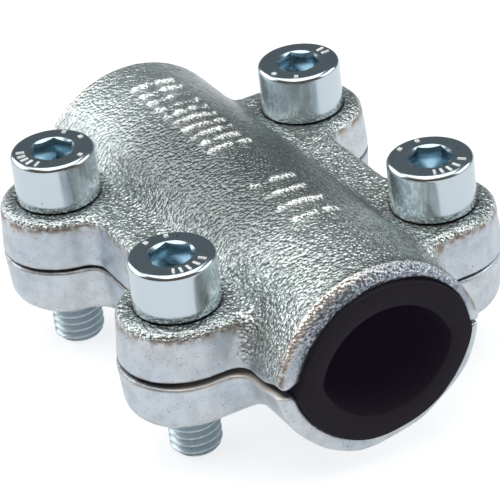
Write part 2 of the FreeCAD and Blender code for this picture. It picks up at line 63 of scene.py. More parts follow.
# The screws: M8 x 25 with a 6 mm hexagon socket.
HEAD_R, HEAD_H, HEAD_ROUND = 6.5, 8.0, 0.8
SOCKET_HALF, SOCKET_DEPTH, SOCKET_CONE = 3.0, 4.6, 27
SCREW_L, PITCH, THREAD_R, ROOT_R, ROOT_FLAT, TIP_BEVEL = 25.0, 1.25, 3.95, 3.23, 0.2, 0.8
# Points round a ring, and rings to one turn of the thread.
SIDES, RINGS_A_TURN = 144, 16
# Raised bars and dots on the head: inner radius, outer radius, width and height.
BAR, DOT = (4.25, 5.5, 0.34, 0.14), (4.9, 5.5, 0.6, 0.14)
# Each screw's side along and across the pipe, the angle of one corner of its socket, and the
# angles of the raised bars and dots on its head.
SCREWS = {
    "front_left": (1, -1, 45.0, (-24, -11, 3, 20, 38), (160, 197)),
    "front_right": (1, 1, 60.0, (-24, -11, 3, 20, 42), (169, 207)),
    "rear_left": (-1, -1, 30.0, (247, 262, 275, 289, 306), (96, 133, 30)),
    "rear_right": (-1, 1, 50.0, (88, 104), (-33, -76)),
}

# The rubber sleeve.
SLEEVE_R, SLEEVE_WALL, SLEEVE_CORNER, SLEEVE_HALF, SLIT = 15.0, 4.0, 2.2, 40.4, 0.03


# ---------------------------------------------------------------- numbers

class Noise:
    """Smooth repeating 3-D noise between -1 and 1, the same on every run."""

    SIZE = 64

    def __init__(self, seed):
        self.grid = np.random.default_rng(seed).uniform(-1, 1, (self.SIZE,) * 3)

    def __call__(self, points, scale):
        q = points / scale
        cell = np.floor(q).astype(int)
        f = q - cell
        f = f * f * (3 - 2 * f)
        total = np.zeros(len(points))
        for dx in (0, 1):
            for dy in (0, 1):
                for dz in (0, 1):
                    weight = np.ones(len(points))
                    for axis, d in enumerate((dx, dy, dz)):
                        weight *= f[:, axis] if d else 1 - f[:, axis]
                    i, j, k = ((cell[:, a] + d) % self.SIZE for a, d in enumerate((dx, dy, dz)))
                    total += weight * self.grid[i, j, k]
        return total


def layered(noise, points, layers):
    """The sum of some layers of noise, each a height, a grain size and a shift."""
    return sum(noise(points + shift, size) * height for height, size, shift in layers)


def ramp(x, low, high):
    """0 below low, 1 above high, and smooth between. It falls instead if low is over high."""
    t = np.clip((x - low) / (high - low), 0, 1)
    return t * t * (3 - 2 * t)


# ---------------------------------------------------------------- meshes

def add_piece(name, mesh, material, body):
    """Shows a mesh that rides on a body and stands in for the CAD node of the same name."""
    obj = bpy.data.objects.new(name, mesh)
    bpy.context.scene.collection.objects.link(obj)
    mesh.materials.clear()
    mesh.materials.append(material)
    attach(obj, body)
    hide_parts(body)


def mesh_from(name, points, faces):
    mesh = bpy.data.meshes.new(name)
    mesh.from_pydata((np.asarray(points) * MM).tolist(), [], [list(map(int, f)) for f in faces])
    mesh.update()
    return mesh


def smooth_shade(mesh):
    mesh.polygons.foreach_set("use_smooth", np.ones(len(mesh.polygons), bool))


def coordinates(mesh):
    co = np.zeros(len(mesh.vertices) * 3)
    mesh.vertices.foreach_get("co", co)
    return co.reshape(-1, 3) / MM


def set_coordinates(mesh, points):
    mesh.vertices.foreach_set("co", (points * MM).ravel())
    mesh.update()


def vertex_normals(mesh):
    no = np.zeros(len(mesh.vertices) * 3)
    mesh.vertex_normals.foreach_get("vector", no)
    return no.reshape(-1, 3)


def edge_pairs(mesh):
    pairs = np.zeros(len(mesh.edges) * 2, int)
    mesh.edges.foreach_get("vertices", pairs)
    return pairs.reshape(-1, 2)


def relax(points, pairs, rounds, share):
    """Moves each point part of the way to its neighbours' mean."""
    count = np.bincount(pairs.ravel(), minlength=len(points))[:, None]
    for _ in range(rounds):
        total = np.zeros_like(points)
        for axis in range(3):
            total[:, axis] = np.bincount(
                pairs[:, 0], points[pairs[:, 1], axis], len(points)
            ) + np.bincount(pairs[:, 1], points[pairs[:, 0], axis], len(points))
        points = points + share * (total / count - points)
    return points


def voxel_copy(node, voxel):
    """A new mesh of even small quads over a CAD node's surface."""
    obj = bpy.data.objects.new(node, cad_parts[node].data.copy())
    bpy.context.scene.collection.objects.link(obj)
    remesh = obj.modifiers.new("even", "REMESH")
    remesh.mode = "VOXEL"
    remesh.voxel_size = voxel * MM
    graph = bpy.context.evaluated_depsgraph_get()
    mesh = bpy.data.meshes.new_from_object(obj.evaluated_get(graph))
    bpy.data.objects.remove(obj)
    return mesh


def store(mesh, name, values):
    """Keeps a number for each vertex, for the material to read."""
    layer = mesh.attributes.new(name, "FLOAT", "POINT")
    layer.data.foreach_set("value", np.asarray(values, np.float32))


# ---------------------------------------------------------------- castings

class Places:
    """Where the points of one shell stand."""

    def __init__(self, points, side):
        self.side = side
        self.x, self.y, self.z = points.T.copy()
        self.along = np.abs(self.x)
        # The height off the parting plane, and the distances from the centre line of the shell's
        # arc and from the nearest screw's axis.
        self.up = self.z * side
        self.from_arc = np.hypot(self.y, self.z + side * ARC_SHIFT)
        self.from_screw = np.hypot(self.along - SCREW_X, np.abs(self.y) - SCREW_Y)
        # The angle round the upper arc's centre line, from the top towards +Y, in degrees.
        self.turn = np.degrees(np.arctan2(self.y, self.z + ARC_SHIFT))


def skin_share(at):
    """1 on a shell's outer skin, and 0 in its bore and round its screw holes."""
    return ramp(at.from_arc, BORE_R + 0.1, BORE_R + 1.6) * ramp(at.from_screw, 5.0, 6.8)


def lip_share(at):
    """1 at the bore's edge on the front end face, and 0 away from it."""
    return ramp(at.x, 35.0, 38.6) * ramp(at.from_arc, BARREL_R, BORE_R)


def shift_skin(moved, at):
    """Moves the barrel towards the front, and lets its skin bulge and squeeze across the pipe."""
    lower = at.side == LOWER
    skin, lip = skin_share(at), lip_share(at)
    right = ramp(at.y, 5, 14)
    beyond_ears = 1.0 if lower else ramp(at.along, 26.0, 34.0)
    right_squeeze = 0.6 if lower else 0.35
    lip_squeeze = 0.5
    moved[:, 0] += SHIFT_ALONG * ramp(at.along, 29.5, 34.0)
    moved[:, 1] -= SHIFT_ACROSS * skin * ramp(at.x, 0, 36) * beyond_ears
    moved[:, 1] -= right_squeeze * skin * right * ramp(at.x, 22, 38)
    moved[:, 1] -= lip_squeeze * lip * right * ramp(at.z, 6.0, 1.0)
    if lower:
        left_bulge = 0.12
        moved[:, 1] -= left_bulge * skin * ramp(-at.y, 12.5, 15.0) * ramp(at.x, 6.0, 14.0)


def open_gap(moved, at):
    """Opens the gap between the shells towards the front on -Y, and lifts the corners there."""
    x = at.x
    beside_gap = ramp(-at.y, 12.5, 15.0) * ramp(at.up, 4.0, 0.3) * ramp(at.from_screw, 5.0, 6.8)
    if at.side == LOWER:
        rise = -0.10 - 0.42 * ramp(x, 20, 31) + 0.75 * ramp(x, 33, 38)
    else:
        rise = -0.05 + 0.35 * ramp(x, 24, 34) + 0.5 * ramp(x, 33, 38)
    moved[:, 2] += beside_gap * rise


def draw_in(moved, at):
    """Draws the front end in towards the arc's centre line.

    The upper shell's lip reaches inwards at the top and on -Y. The lower shell's lip and skin are
    flattened on +Y.
    """
    y, lip = at.y, lip_share(at)
    if at.side == LOWER:
        flat = ramp(y, -6, 3) * ramp(y, 15.5, 9.0)
        lip_depth, skin_depth = 0.55, 1.0
        inward = flat * (lip_depth * lip + skin_depth * skin_share(at) * ramp(at.x, 18, 38))
    else:
        reach = 0.57 * ramp(-y, -9, -1) + 0.55 * ramp(-y, -1, 7) - 0.2 * ramp(-y, 10, 14)
        inward = lip * ramp(at.up, -0.5, 1.0) * reach
    moved[:, 1] -= inward * y / at.from_arc
    moved[:, 2] -= inward * (at.z + at.side * ARC_SHIFT) / at.from_arc


def lean_end(moved, at):
    """Leans the upper shell's front end face back at the top."""
    lean = ramp(at.x, 37.5, 39.4) * ramp(at.from_arc, BORE_R + 0.6, BARREL_R)
    depth = 0.9
    moved[:, 0] -= depth * lean * ramp(at.z, 5.0, 13.0)


def round_corners(moved, at):
    """Rounds the long corners beside the parting plane, most of all at the front."""
    # Each corner's place across the pipe, its depth and its reach.
    corners = [(-14.8, 0.45, 1.6), (14.8, 0.15, 2.0)]
    if at.side == UPPER:
        corners = [(-14.3, 0.6, 1.7), (14.8, 0.15, 2.0), (-17.3, 0.45, 1.4)]
    for edge, depth, reach in corners:
        near = ramp(np.hypot(at.y - edge, at.up - 0.15), reach, 0.2)
        if abs(edge) > BARREL_R:
            strength, outwards = depth * ramp(at.x, 35, 38), -0.8
        else:
            strength, outwards = depth * (0.35 + 0.65 * ramp(at.x, 30, 38)), 0.25
        moved[:, 2] += at.side * near * strength
        moved[:, 1] += np.sign(edge) * near * strength * outwards


def settle(points, at):
    """The small ways in which the real castings are not true."""
    moved = points.copy()
    shift_skin(moved, at)
    open_gap(moved, at)
    draw_in(moved, at)
    if at.side == UPPER:
        lean_end(moved, at)
    round_corners(moved, at)
    return moved


def raise_marks(points):
    """Sets the skin round the marks to its exact height, with the marks sloping and worn."""
    at = Places(points, UPPER)
    on_skin = ramp(np.abs(at.from_arc - BARREL_R), 1.0, 0.7) * (at.z > SEAT_Z)
    ends = ramp(at.turn, MARK_LOW - 1.2, MARK_LOW + 1.2)
    ends = ends * ramp(at.turn, MARK_HIGH + 1.2, MARK_HIGH - 1.2)
    round_marks = ramp(np.abs(at.turn - (MARK_LOW + MARK_HIGH) / 2), 17, 14)
    height = np.zeros(len(points))
    area = np.zeros(len(points))
    for start, pitch, count in MARK_ROWS:
        for n in range(count):
            off = np.abs(at.x - (start + n * pitch + MARK_WIDTH / 2))
            height = np.maximum(height, ramp(off, 0.75, 0.25) * ends)
            area = np.maximum(area, ramp(off, 1.8, 1.2) * round_marks)
    left_by_wear = 0.25
    height *= left_by_wear + (1 - left_by_wear) * ramp(Noise(5)(points, 1.3), -0.45, 0.05)
    wanted = BARREL_R + MARK_HEIGHT * height
    shift = (wanted - at.from_arc) * area * on_skin
    points = points.copy()
    points[:, 1] += shift * at.y / at.from_arc
    points[:, 2] += shift * (at.z + ARC_SHIFT) / at.from_arc
    return points, height * on_skin


# The shares below tell the material, for each point, what kind of surface it is on. They read the
# true places, before settle(), and rise, how far the surface there faces away from the parting
# plane. Some are painted shade and painted highlights along the broad light and dark bands of the
# photographed object.

def outside_share(at):
    """1 on the outer walls, and 0 in the bore, in the holes and on the mating faces."""
    walls = ramp(at.from_arc, BORE_R + 0.1, BORE_R + 0.5) * ramp(at.up, 0.5, 1.1)
    return walls * ramp(at.from_screw, 4.7, 5.2)


def seat_share(at):
    """1 on the flat seat under each screw head."""
    return ramp(at.from_screw, 6.5, 6.2) * ramp(np.abs(at.z - SEAT_Z), 0.8, 0.4)


def barrel_share(at):
    """1 on the barrel, clear of the parting plane."""
    return ramp(at.from_arc, BARREL_R + 0.5, BARREL_R + 0.1) * ramp(at.up, 1.0, 3.5)


def end_share(at):
    """1 at the end faces."""
    return ramp(at.along, BARREL_HALF - 0.5, BARREL_HALF - 0.1)


def rim_share(at):
    """1 on the upper shell's rounded edges between its barrel and its end faces."""
    rim = ramp(at.along, BARREL_HALF - 1.6, BARREL_HALF - 0.8) * ramp(at.z, 0.2, 1.5)
    rim *= ramp(at.along, BARREL_HALF + 0.1, BARREL_HALF - 0.2)
    return rim * ramp(at.from_arc, BARREL_R - 0.9, BARREL_R - 0.4)


def rear_share(at):
    """1 towards the rear end."""
    return ramp(at.x, -6, -34)


def flank_share(at):
    """1 low on the upper shell's -Y flank."""
    return ramp(at.turn, -32, -52)


def grain_shares(at, rise):
    """How rough the skin is, and how thickly its dark specks lie."""
    rear, end_face = rear_share(at), end_share(at)
    rough = np.maximum(ramp(rise, 0.12, 0.5), 0.85 * barrel_share(at)) * (1 - seat_share(at))
    rough *= (1 - 0.25 * rear) * (1 - 0.8 * end_face * ramp(at.z, 10.0, 3.0))
    if at.side == LOWER:
        return rough * 0.35, rough * 0.2 * (1 - 0.75 * rear * (1 - flank_share(at)))
    specks = rough * (1 - 0.75 * rear * (1 - flank_share(at)))
    specks = np.maximum(specks, 1.1 * end_face * ramp(at.z, 2.0, 10.0))
    return np.maximum(rough, 0.5 * end_face * ramp(at.z, 2.0, 12.0)), specks


def painted_shade_band_share(at):
    """Painted shade: dark bands along the barrel's top, behind its front rim and on its rear
    flank.
    """
    painted_shade_band = ramp(at.turn, -62, -30) * ramp(at.turn, 62, 42)
    painted_shade_band = painted_shade_band * ramp(at.x, -30, -14) * ramp(at.x, 27, 12)
    behind_rim = ramp(at.turn, -38, -14) * ramp(at.x, 35.5, 38.0) * (1 - end_share(at))
    painted_shade_band = np.maximum(painted_shade_band, 0.85 * behind_rim)
    painted_shade_band = np.maximum(painted_shade_band, 0.4 * flank_share(at) * rear_share(at))
    return painted_shade_band * barrel_share(at) * ramp(at.z, 3, 6) * (at.side == UPPER)


def clear_share(at):
    """1 away from the bore's edge."""
    return ramp(at.from_arc, BORE_R + 0.8, BORE_R + 1.4)


def shoulder_share(at):
    """1 on the -Y side, away from the bore's edge."""
    return clear_share(at) * ramp(-at.y, 12, 14)


def ledge_highlight_share(at):
    """A painted highlight on the lower shell's top edge, beside the wide part of the gap."""
    edge = ramp(at.up, 0.65, 0.35) * shoulder_share(at)
    return edge * ramp(at.x, 24, 32) * (at.side == LOWER)


def wear_and_reflection_share(at, rise):
    """Brown: a painted reflection of the warm studio round the ears' tops, on the rims and in the
    hollows on +Y, and wear along the gap.
    """
    edges = ramp(rise, 0.05, 0.14) * ramp(rise, 0.50, 0.25) * ramp(at.z, 5.2, 6.0)
    wear_and_reflection = np.maximum(edges * (1 - barrel_share(at)), rim_share(at) * ramp(at.z, 11, 3))
    hollow = ramp(at.turn, 48, 58) * ramp(np.abs(at.along - 17), 12, 5) * ramp(at.y, 19, 16)
    wear_and_reflection = np.maximum(wear_and_reflection, 0.4 * hollow * (at.side == UPPER) * ramp(at.z, 3, 5))
    gap = 0.6 * ramp(at.up, 0.8, 0.45) * shoulder_share(at)
    return np.maximum(wear_and_reflection * outside_share(at), gap * (1 - ledge_highlight_share(at)))


def painted_shadow_share(at, rise):
    """Painted shadow: a dark line under the screw heads, and the lower shell's mating faces, in
    the shade of the gap.
    """
    if at.side == UPPER:
        line = ramp(at.from_screw, 6.75, 6.55) * ramp(at.from_screw, 4.6, 4.8)
        return line * ramp(at.z, 7.4, 7.8)
    mating = clear_share(at) * ramp(np.abs(at.y), 12, 14)
    return 0.5 * ramp(-rise, 0.70, 0.93) * ramp(at.up, 0.6, 0.3) * mating


def build_shell(body, side, material, seed):
    """Turns a shell's CAD surface into a cast one, and stores its shares for the material."""
    mesh = voxel_copy(body, VOXEL)
    true_points = relax(coordinates(mesh), edge_pairs(mesh), 3, 0.5)
    marks = np.zeros(len(true_points))
    if side == UPPER:
        true_points, marks = raise_marks(true_points)
    at = Places(true_points, side)
    points = settle(true_points, at)
    set_coordinates(mesh, points)
    normals = vertex_normals(mesh)
    rise = normals[:, 2] * side
    rough, specks = grain_shares(at, rise)
    outside, rim = outside_share(at), rim_share(at)

    # The grain stands out of the mesh itself, and fades on the smooth walls and the rims.
    noise = Noise(seed)
    cast_skin = outside * (1 - seat_share(at))
    grain_share = (0.10 + 0.90 * rough) * (1 - 0.7 * rim)
    grain = layered(noise, points, GRAIN) * grain_share
    lift = cast_skin * (grain + layered(noise, points, WAVES))
    set_coordinates(mesh, points + normals * lift[:, None])

    store(mesh, "rough", rough * outside)
    store(mesh, "specks", specks * outside * (1 - 0.8 * marks) * (1 - 0.7 * rim))
    # The raised marks on the barrel are painted white, a painted highlight.
    store(mesh, "mark_highlight", marks)
    # A painted highlight on the upper shell's rounded rim edges, high up and towards -Y.
    store(mesh, "rim_highlight", rim * ramp(at.z, 1, 7) * ramp(at.y, 4, -6))
    store(mesh, "end_face", end_share(at) * ramp(at.z, 1, 5))
    # Painted shade on the ear tops round the feet of the screw heads.
    store(mesh, "painted_shade_round_heads", ramp(at.from_screw, 8.8, 6.6) * ramp(at.z, 7.2, 7.8))
    # Painted shade on the barrel's top, behind its front rim and on its rear flank.
    store(mesh, "painted_shade_band", painted_shade_band_share(at))
    # Brown: painted reflection on the ears' edges, the rims and the hollows, and wear along the
    # gap.
    store(mesh, "wear_and_reflection", wear_and_reflection_share(at, rise))
    # A painted highlight on the lower shell's top edge beside the gap.
    store(mesh, "ledge_highlight", ledge_highlight_share(at))
    # Painted shadow under the screw heads and on the lower shell's mating faces.
    store(mesh, "painted_shadow", painted_shadow_share(at, rise))
    smooth_shade(mesh)
    add_piece(body + "_cast", mesh, material, body)


# ---------------------------------------------------------------- screws

def ring(radius, level):
    """Points round the screw's axis. The radius may be one number or one for each point."""
    angle = np.arange(SIDES) / SIDES * 2 * math.pi
    radius = np.broadcast_to(radius, SIDES)
    level = np.broadcast_to(level, SIDES)
    return np.stack([radius * np.cos(angle), radius * np.sin(angle), level], 1)


def lathe(rings):
    """Points and quads that join one ring of SIDES points to the next, with both ends closed."""
    points = np.concatenate(rings)
    faces = []
    for row in range(len(rings) - 1):
        low, high = row * SIDES, (row + 1) * SIDES
        for i in range(SIDES):
            j = (i + 1) % SIDES
            faces.append((low + i, low + j, high + j, high + i))
    last = (len(rings) - 1) * SIDES
    faces.append(tuple(reversed(range(SIDES))))
    faces.append(tuple(range(last, last + SIDES)))
    return points, faces


def hexagon_radius(turn):
    """Distance from the axis to the hexagon's edge, with one corner at the angle turn."""
    angle = np.degrees(np.arange(SIDES) / SIDES * 2 * math.pi) - turn
    off_flat = (angle % 60) - 30
    return SOCKET_HALF / np.cos(np.radians(off_flat))


def thread_rings():
    """Rings up the shank, from the bevelled tip to the head, with a right-hand thread."""
    tip = SEAT_Z - SCREW_L
    first_groove = tip - 1.5 * PITCH
    angle = np.arange(SIDES) / SIDES * 2 * math.pi
    flank = math.tan(math.radians(30))
    crest_dip = 0.03
    rings = []
    steps = RINGS_A_TURN * int(SCREW_L / PITCH)
    for n in range(steps + 1):
        level = tip + SCREW_L * n / steps
        phase = (level - first_groove) / PITCH - angle / (2 * math.pi)
        from_groove = np.abs(phase - np.round(phase)) * PITCH
        radius = ROOT_R + np.maximum(from_groove - ROOT_FLAT / 2, 0) / flank
        radius = np.minimum(radius, THREAD_R)
        crest = 1 - ramp(THREAD_R - radius, 0.0, 0.12)
        radius = radius - crest_dip * crest * ramp(from_groove, 0.5, 0.62)
        bevel = THREAD_R - TIP_BEVEL + (level - tip)
        runout = ROOT_R + (THREAD_R - ROOT_R) * ramp(level, SEAT_Z - 1.6, SEAT_Z - 0.6)
        radius = np.maximum(np.minimum(radius, bevel), runout)
        rings.append(ring(np.minimum(radius, THREAD_R), level))
    return rings


def head_rings(turn):
    """Rings over the head, from its seat up the side and over the top, then down the socket."""
    base, top = SEAT_Z, SEAT_Z + HEAD_H
    seat_edge = ((5.7, 0), (6.15, 0), (6.25, 0.03), (6.4, 0.16), (6.47, 0.24), (HEAD_R, 0.35))
    rings = [ring(radius, base + height) for radius, height in seat_edge]
    rings += [ring(HEAD_R, base + height) for height in (1.5, 3.0, 4.5, 6.0, 6.9)]
    steps = 8
    for step in range(steps + 1):
        a = math.radians(step * 90 / steps)
        radius = HEAD_R - HEAD_ROUND * (1 - math.cos(a))
        rings.append(ring(radius, top - HEAD_ROUND * (1 - math.sin(a))))
    rings += [ring(radius, top) for radius in (5.5, 5.2, 4.6, 4.0, 3.7)]

    mouth = SOCKET_HALF / math.cos(math.radians(30)) + 0.06
    slope = math.tan(math.radians(SOCKET_CONE))
    rings += [ring(mouth + 0.06, top - 0.01), ring(mouth - 0.05, top - 0.06)]
    hexagon = hexagon_radius(turn)
    edge = top - (mouth - hexagon) * slope
    rings += [ring(hexagon + 0.03, edge), ring(hexagon, edge - 0.06)]
    floor = top - SOCKET_DEPTH
    rings += [ring(hexagon, level) for level in (floor + 2.0, floor + 1.0, floor)]

    floor_r = 2.9
    rings += [ring(hexagon - 0.1, floor - 0.03), ring(floor_r, floor - 0.06)]
    rings += [ring(r, floor - (floor_r - r) * slope - 0.06) for r in (2.0, 1.0, 0.05)]
    return rings


def radial_bar(angle, inner, outer, width, height):
    """A small raised bar on the head's top, with sloping sides and its foot in the head."""
    top = SEAT_Z + HEAD_H
    a = math.radians(angle)
    along = np.array([math.cos(a), math.sin(a)])
    across = np.array([-math.sin(a), math.cos(a)])
    points = []
    for z, grow in ((top - 0.05, 0.06), (top + height * 0.6, 0.02), (top + height, -0.05)):
        for r, s in ((inner - grow, -1), (outer + grow, -1), (outer + grow, 1), (inner - grow, 1)):
            spot = along * r + across * s * (width / 2 + grow)
            points.append((*spot, z))
    faces = [(8, 9, 10, 11), (3, 2, 1, 0)]
    for row in (0, 4):
        for i in range(4):
            j = (i + 1) % 4
            faces.append((row + i, row + j, row + 4 + j, row + 4 + i))
    return np.array(points), faces


def joined(parts):
    """The points and faces of several parts as one."""
    points = np.concatenate([part_points for part_points, _ in parts])
    faces, start = [], 0
    for part_points, part_faces in parts:
        faces += [tuple(start + i for i in face) for face in part_faces]
        start += len(part_points)
    return points, faces


def build_screw(name, material):
    along, across, corner, bars, dots = SCREWS[name]
    parts = [lathe(thread_rings() + head_rings(corner))]
    parts += [radial_bar(angle, *BAR) for angle in bars]
    parts += [radial_bar(angle, *DOT) for angle in dots]
    points, faces = joined(parts)
    axis = np.array((along * SCREW_X, across * SCREW_Y, 0))
    points = points + axis
    node = "screw_" + name
    mesh = mesh_from(node + "_turned", points, faces)
    smooth_shade(mesh)
    mesh.set_sharp_from_angle(angle=math.radians(38))
    x, y, z = points.T
    from_axis = np.hypot(x - axis[0], y - axis[1])
    top = SEAT_Z + HEAD_H
    store(mesh, "socket", ramp(from_axis, 3.55, 3.45) * ramp(z, SEAT_Z + 1, SEAT_Z + 2))
    store(mesh, "shank", ramp(z, SEAT_Z, SEAT_Z - 0.1))
    store(mesh, "mark", ramp(z, top + 0.01, top + 0.05))
    add_piece(node + "_turned", mesh, material, node)


# ---------------------------------------------------------------- sleeve

def lens_point(radius, turn):
    """The point of a lens outline in the direction turn from the bore's middle.

    The lens is two arcs of this radius, joined on each side by an arc of SLEEVE_CORNER.
    """
    corner_place = math.sqrt((radius - SLEEVE_CORNER) ** 2 - ARC_SHIFT**2)
    c, s = math.cos(turn), math.sin(turn)
    side = 1 if s >= 0 else -1
    b = ARC_SHIFT * abs(s)
    reach = -b + math.sqrt(b * b + radius**2 - ARC_SHIFT**2)
    y, z = reach * c, reach * s
    limit = math.atan2(ARC_SHIFT, corner_place)
    if abs(math.atan2(z + side * ARC_SHIFT, abs(y))) < limit:
        b = corner_place * abs(c)
        reach = b + math.sqrt(b * b + SLEEVE_CORNER**2 - corner_place**2)
        y, z = reach * c, reach * s
    return np.array([y, z])


def lens_outline(radius, turns):
    """A lens outline that starts and ends at the slit, half the slit's width off its middle."""
    outline = np.array([lens_point(radius, turn) for turn in turns])
    outline[0, 1], outline[-1, 1] = -SLIT / 2, SLIT / 2
    return outline


def lip_squeeze(outline):
    """How far the shells' front lips press each point of the sleeve's outline inwards."""
    across, height = outline.T
    upper_lip = 0.5 * ramp(height, -1, 3) * ramp(-across, -12, -4)
    lower_lip = 0.55 * ramp(-height, 0, 4) * ramp(across, -6, 3) * ramp(across, 15.5, 9.0)
    right_side = 0.5 * ramp(across, 8, 14) * ramp(height, 5, 1)
    return upper_lip + lower_lip + right_side


def sleeve_stations():
    """Places along the sleeve, each with the depth of the bevel there."""
    bevel = 0.25
    rear = [(-SLEEVE_HALF, bevel), (-SLEEVE_HALF + 0.07, 0.07), (-SLEEVE_HALF + bevel, 0.0)]
    middle = [(x, 0.0) for x in np.linspace(-SLEEVE_HALF + 2, SLEEVE_HALF - 5, 20)]
    under_lips = [(x, 0.0) for x in (35.5, 36.0, 37.0, 38.0)]
    return rear + middle + under_lips + [(-x, inset) for x, inset in reversed(rear)]


def sleeve_faces(stations, width):
    """Quads over the sleeve. Each station has an outer line of width points, then an inner one."""
    row, end = 2 * width, width - 1
    faces = []
    for n in range(stations - 1):
        a, b = n * row, (n + 1) * row
        for i in range(end):
            faces.append((a + i + 1, b + i + 1, b + i, a + i))
            inner_a, inner_b = a + width + i, b + width + i
            faces.append((inner_b, inner_b + 1, inner_a + 1, inner_a))
        faces.append((b, b + width, a + width, a))
        faces.append((a + width + end, b + width + end, b + end, a + end))
    last = (stations - 1) * row
    for i in range(end):
        faces.append((width + i, width + i + 1, i + 1, i))
        faces.append((last + i + 1, last + width + i + 1, last + width + i, last + i))
    return faces


def build_sleeve(material):
    steps = 240
    half_slit = SLIT / 2 / SLEEVE_R
    turns = math.pi + half_slit + (2 * math.pi - 2 * half_slit) * np.arange(steps + 1) / steps
    inner = lens_outline(SLEEVE_R - SLEEVE_WALL, turns)
    outer = lens_outline(SLEEVE_R, turns)
    wall = outer - inner
    outwards = wall / np.linalg.norm(wall, axis=1)[:, None]
    squeeze = lip_squeeze(outer)[:, None]
    stations = sleeve_stations()
    points = []
    for x, inset in stations:
        pinch = squeeze * ramp(np.array([x]), 35.2, 36.6)
        for line in (outer - outwards * (inset + pinch), inner + outwards * inset):
            points += [(x + SHIFT_ALONG, y, z) for y, z in line]
    mesh = mesh_from("seal_sleeve_rubber", points, sleeve_faces(len(stations), len(turns)))
    smooth_shade(mesh)
    mesh.set_sharp_from_angle(angle=math.radians(40))
    add_piece("seal_sleeve_rubber", mesh, material, "seal_sleeve")


# ---------------------------------------------------------------- materials

WALL_BLUE = (0.58, 0.66, 0.74, 1)
WALL_GREY = (0.68, 0.73, 0.76, 1)
TOP_GREEN = (0.70, 0.78, 0.75, 1)
TOP_GREY = (0.80, 0.86, 0.86, 1)
# The dark of the specks, and also of the painted shade bands on the barrel.
SPECK_AND_SHADE = (0.15, 0.17, 0.17, 1)
SPECK_BLUE = (0.08, 0.12, 0.22, 1)
# The colour of the painted highlights on the rims and on the lower shell's ledge.
HIGHLIGHT_CREAM = (0.95, 0.90, 0.84, 1)
# Painted shade round the screw heads.
HEAD_SHADE_GREY = (0.20, 0.22, 0.22, 1)
DULL = (0.34, 0.36, 0.38, 1)
# Brown for wear along the gap, and for the painted reflections on edges and in hollows.
RUST_AND_REFLECTION = (0.27, 0.18, 0.12, 1)
PIT = (0.14, 0.11, 0.10, 1)
# The colour of the painted shadows under the screw heads and in the gap.
SHADOW_BLACK = (0.03, 0.03, 0.03, 1)
# A painted highlight on the barrel's raised marks.
MARK_HIGHLIGHT_WHITE = (0.93, 0.95, 0.93, 1)
HEAD_BLUE = (0.60, 0.69, 0.74, 1)
SOCKET_BLUE = (0.48, 0.61, 0.68, 1)
# A painted highlight on the raised marks of the screw heads.
HEAD_MARK_HIGHLIGHT_WHITE = (0.95, 0.95, 0.93, 1)
THREAD_GREY = (0.50, 0.58, 0.62, 1)
STUDIO_GREY = (0.11, 0.13, 0.14, 1)
STUDIO_BROWN = (0.13, 0.095, 0.075, 1)
# Painted shade and painted highlights over the castings' zinc: the share that the mesh keeps, the
# strength and the colour.
BANDS = (
    ("painted_shade_band", 0.68, SPECK_AND_SHADE),
    ("painted_shade_round_heads", 0.60, HEAD_SHADE_GREY),
    ("rim_highlight", 0.75, HIGHLIGHT_CREAM),
    ("mark_highlight", 0.80, MARK_HIGHLIGHT_WHITE),
)


def nodes_of(name):
    material = bpy.data.materials.new(name)
    material.use_nodes = True
    tree = material.node_tree
    return material, tree, tree.nodes["Principled BSDF"]


def add_node(tree, kind, inputs=(), **settings):
    """Adds a node. Each input is given by its name or number, as a value or another's output."""
    node = tree.nodes.new(kind)
    for key, value in settings.items():
        setattr(node, key, value)
    for key, value in dict(inputs).items():
        if isinstance(value, bpy.types.NodeSocket):
            tree.links.new(value, node.inputs[key])
        else:
            node.inputs[key].default_value = value
    return node


def stored(tree, name):
    """A number that the mesh keeps for each vertex."""
    return add_node(tree, "ShaderNodeAttribute", attribute_name=name).outputs["Fac"]


def value_noise(tree, place, scale, detail=2.0):
    inputs = {"Vector": place, "Scale": scale, "Detail": detail}
    return add_node(tree, "ShaderNodeTexNoise", inputs).outputs["Fac"]


def spread(tree, value, low, high, out_low=0.0, out_high=1.0):
    """Maps low..high to out_low..out_high, and holds the ends."""
    inputs = {0: value, 1: low, 2: high, 3: out_low, 4: out_high}
    return add_node(tree, "ShaderNodeMapRange", inputs).outputs[0]


def times(tree, a, b):
    return add_node(tree, "ShaderNodeMath", {0: a, 1: b}, operation="MULTIPLY").outputs[0]


def plus(tree, a, b):
    return add_node(tree, "ShaderNodeMath", {0: a, 1: b}).outputs[0]


def bumped(tree, height, strength, distance, invert=False):
    inputs = {"Height": height, "Strength": strength, "Distance": distance}
    return add_node(tree, "ShaderNodeBump", inputs, invert=invert).outputs[0]


def blend(tree, share, first, second):
    """The first colour where the share is 0, and the second where it is 1."""
    inputs = {0: share, 6: first, 7: second}
    return add_node(tree, "ShaderNodeMix", inputs, data_type="RGBA").outputs[2]


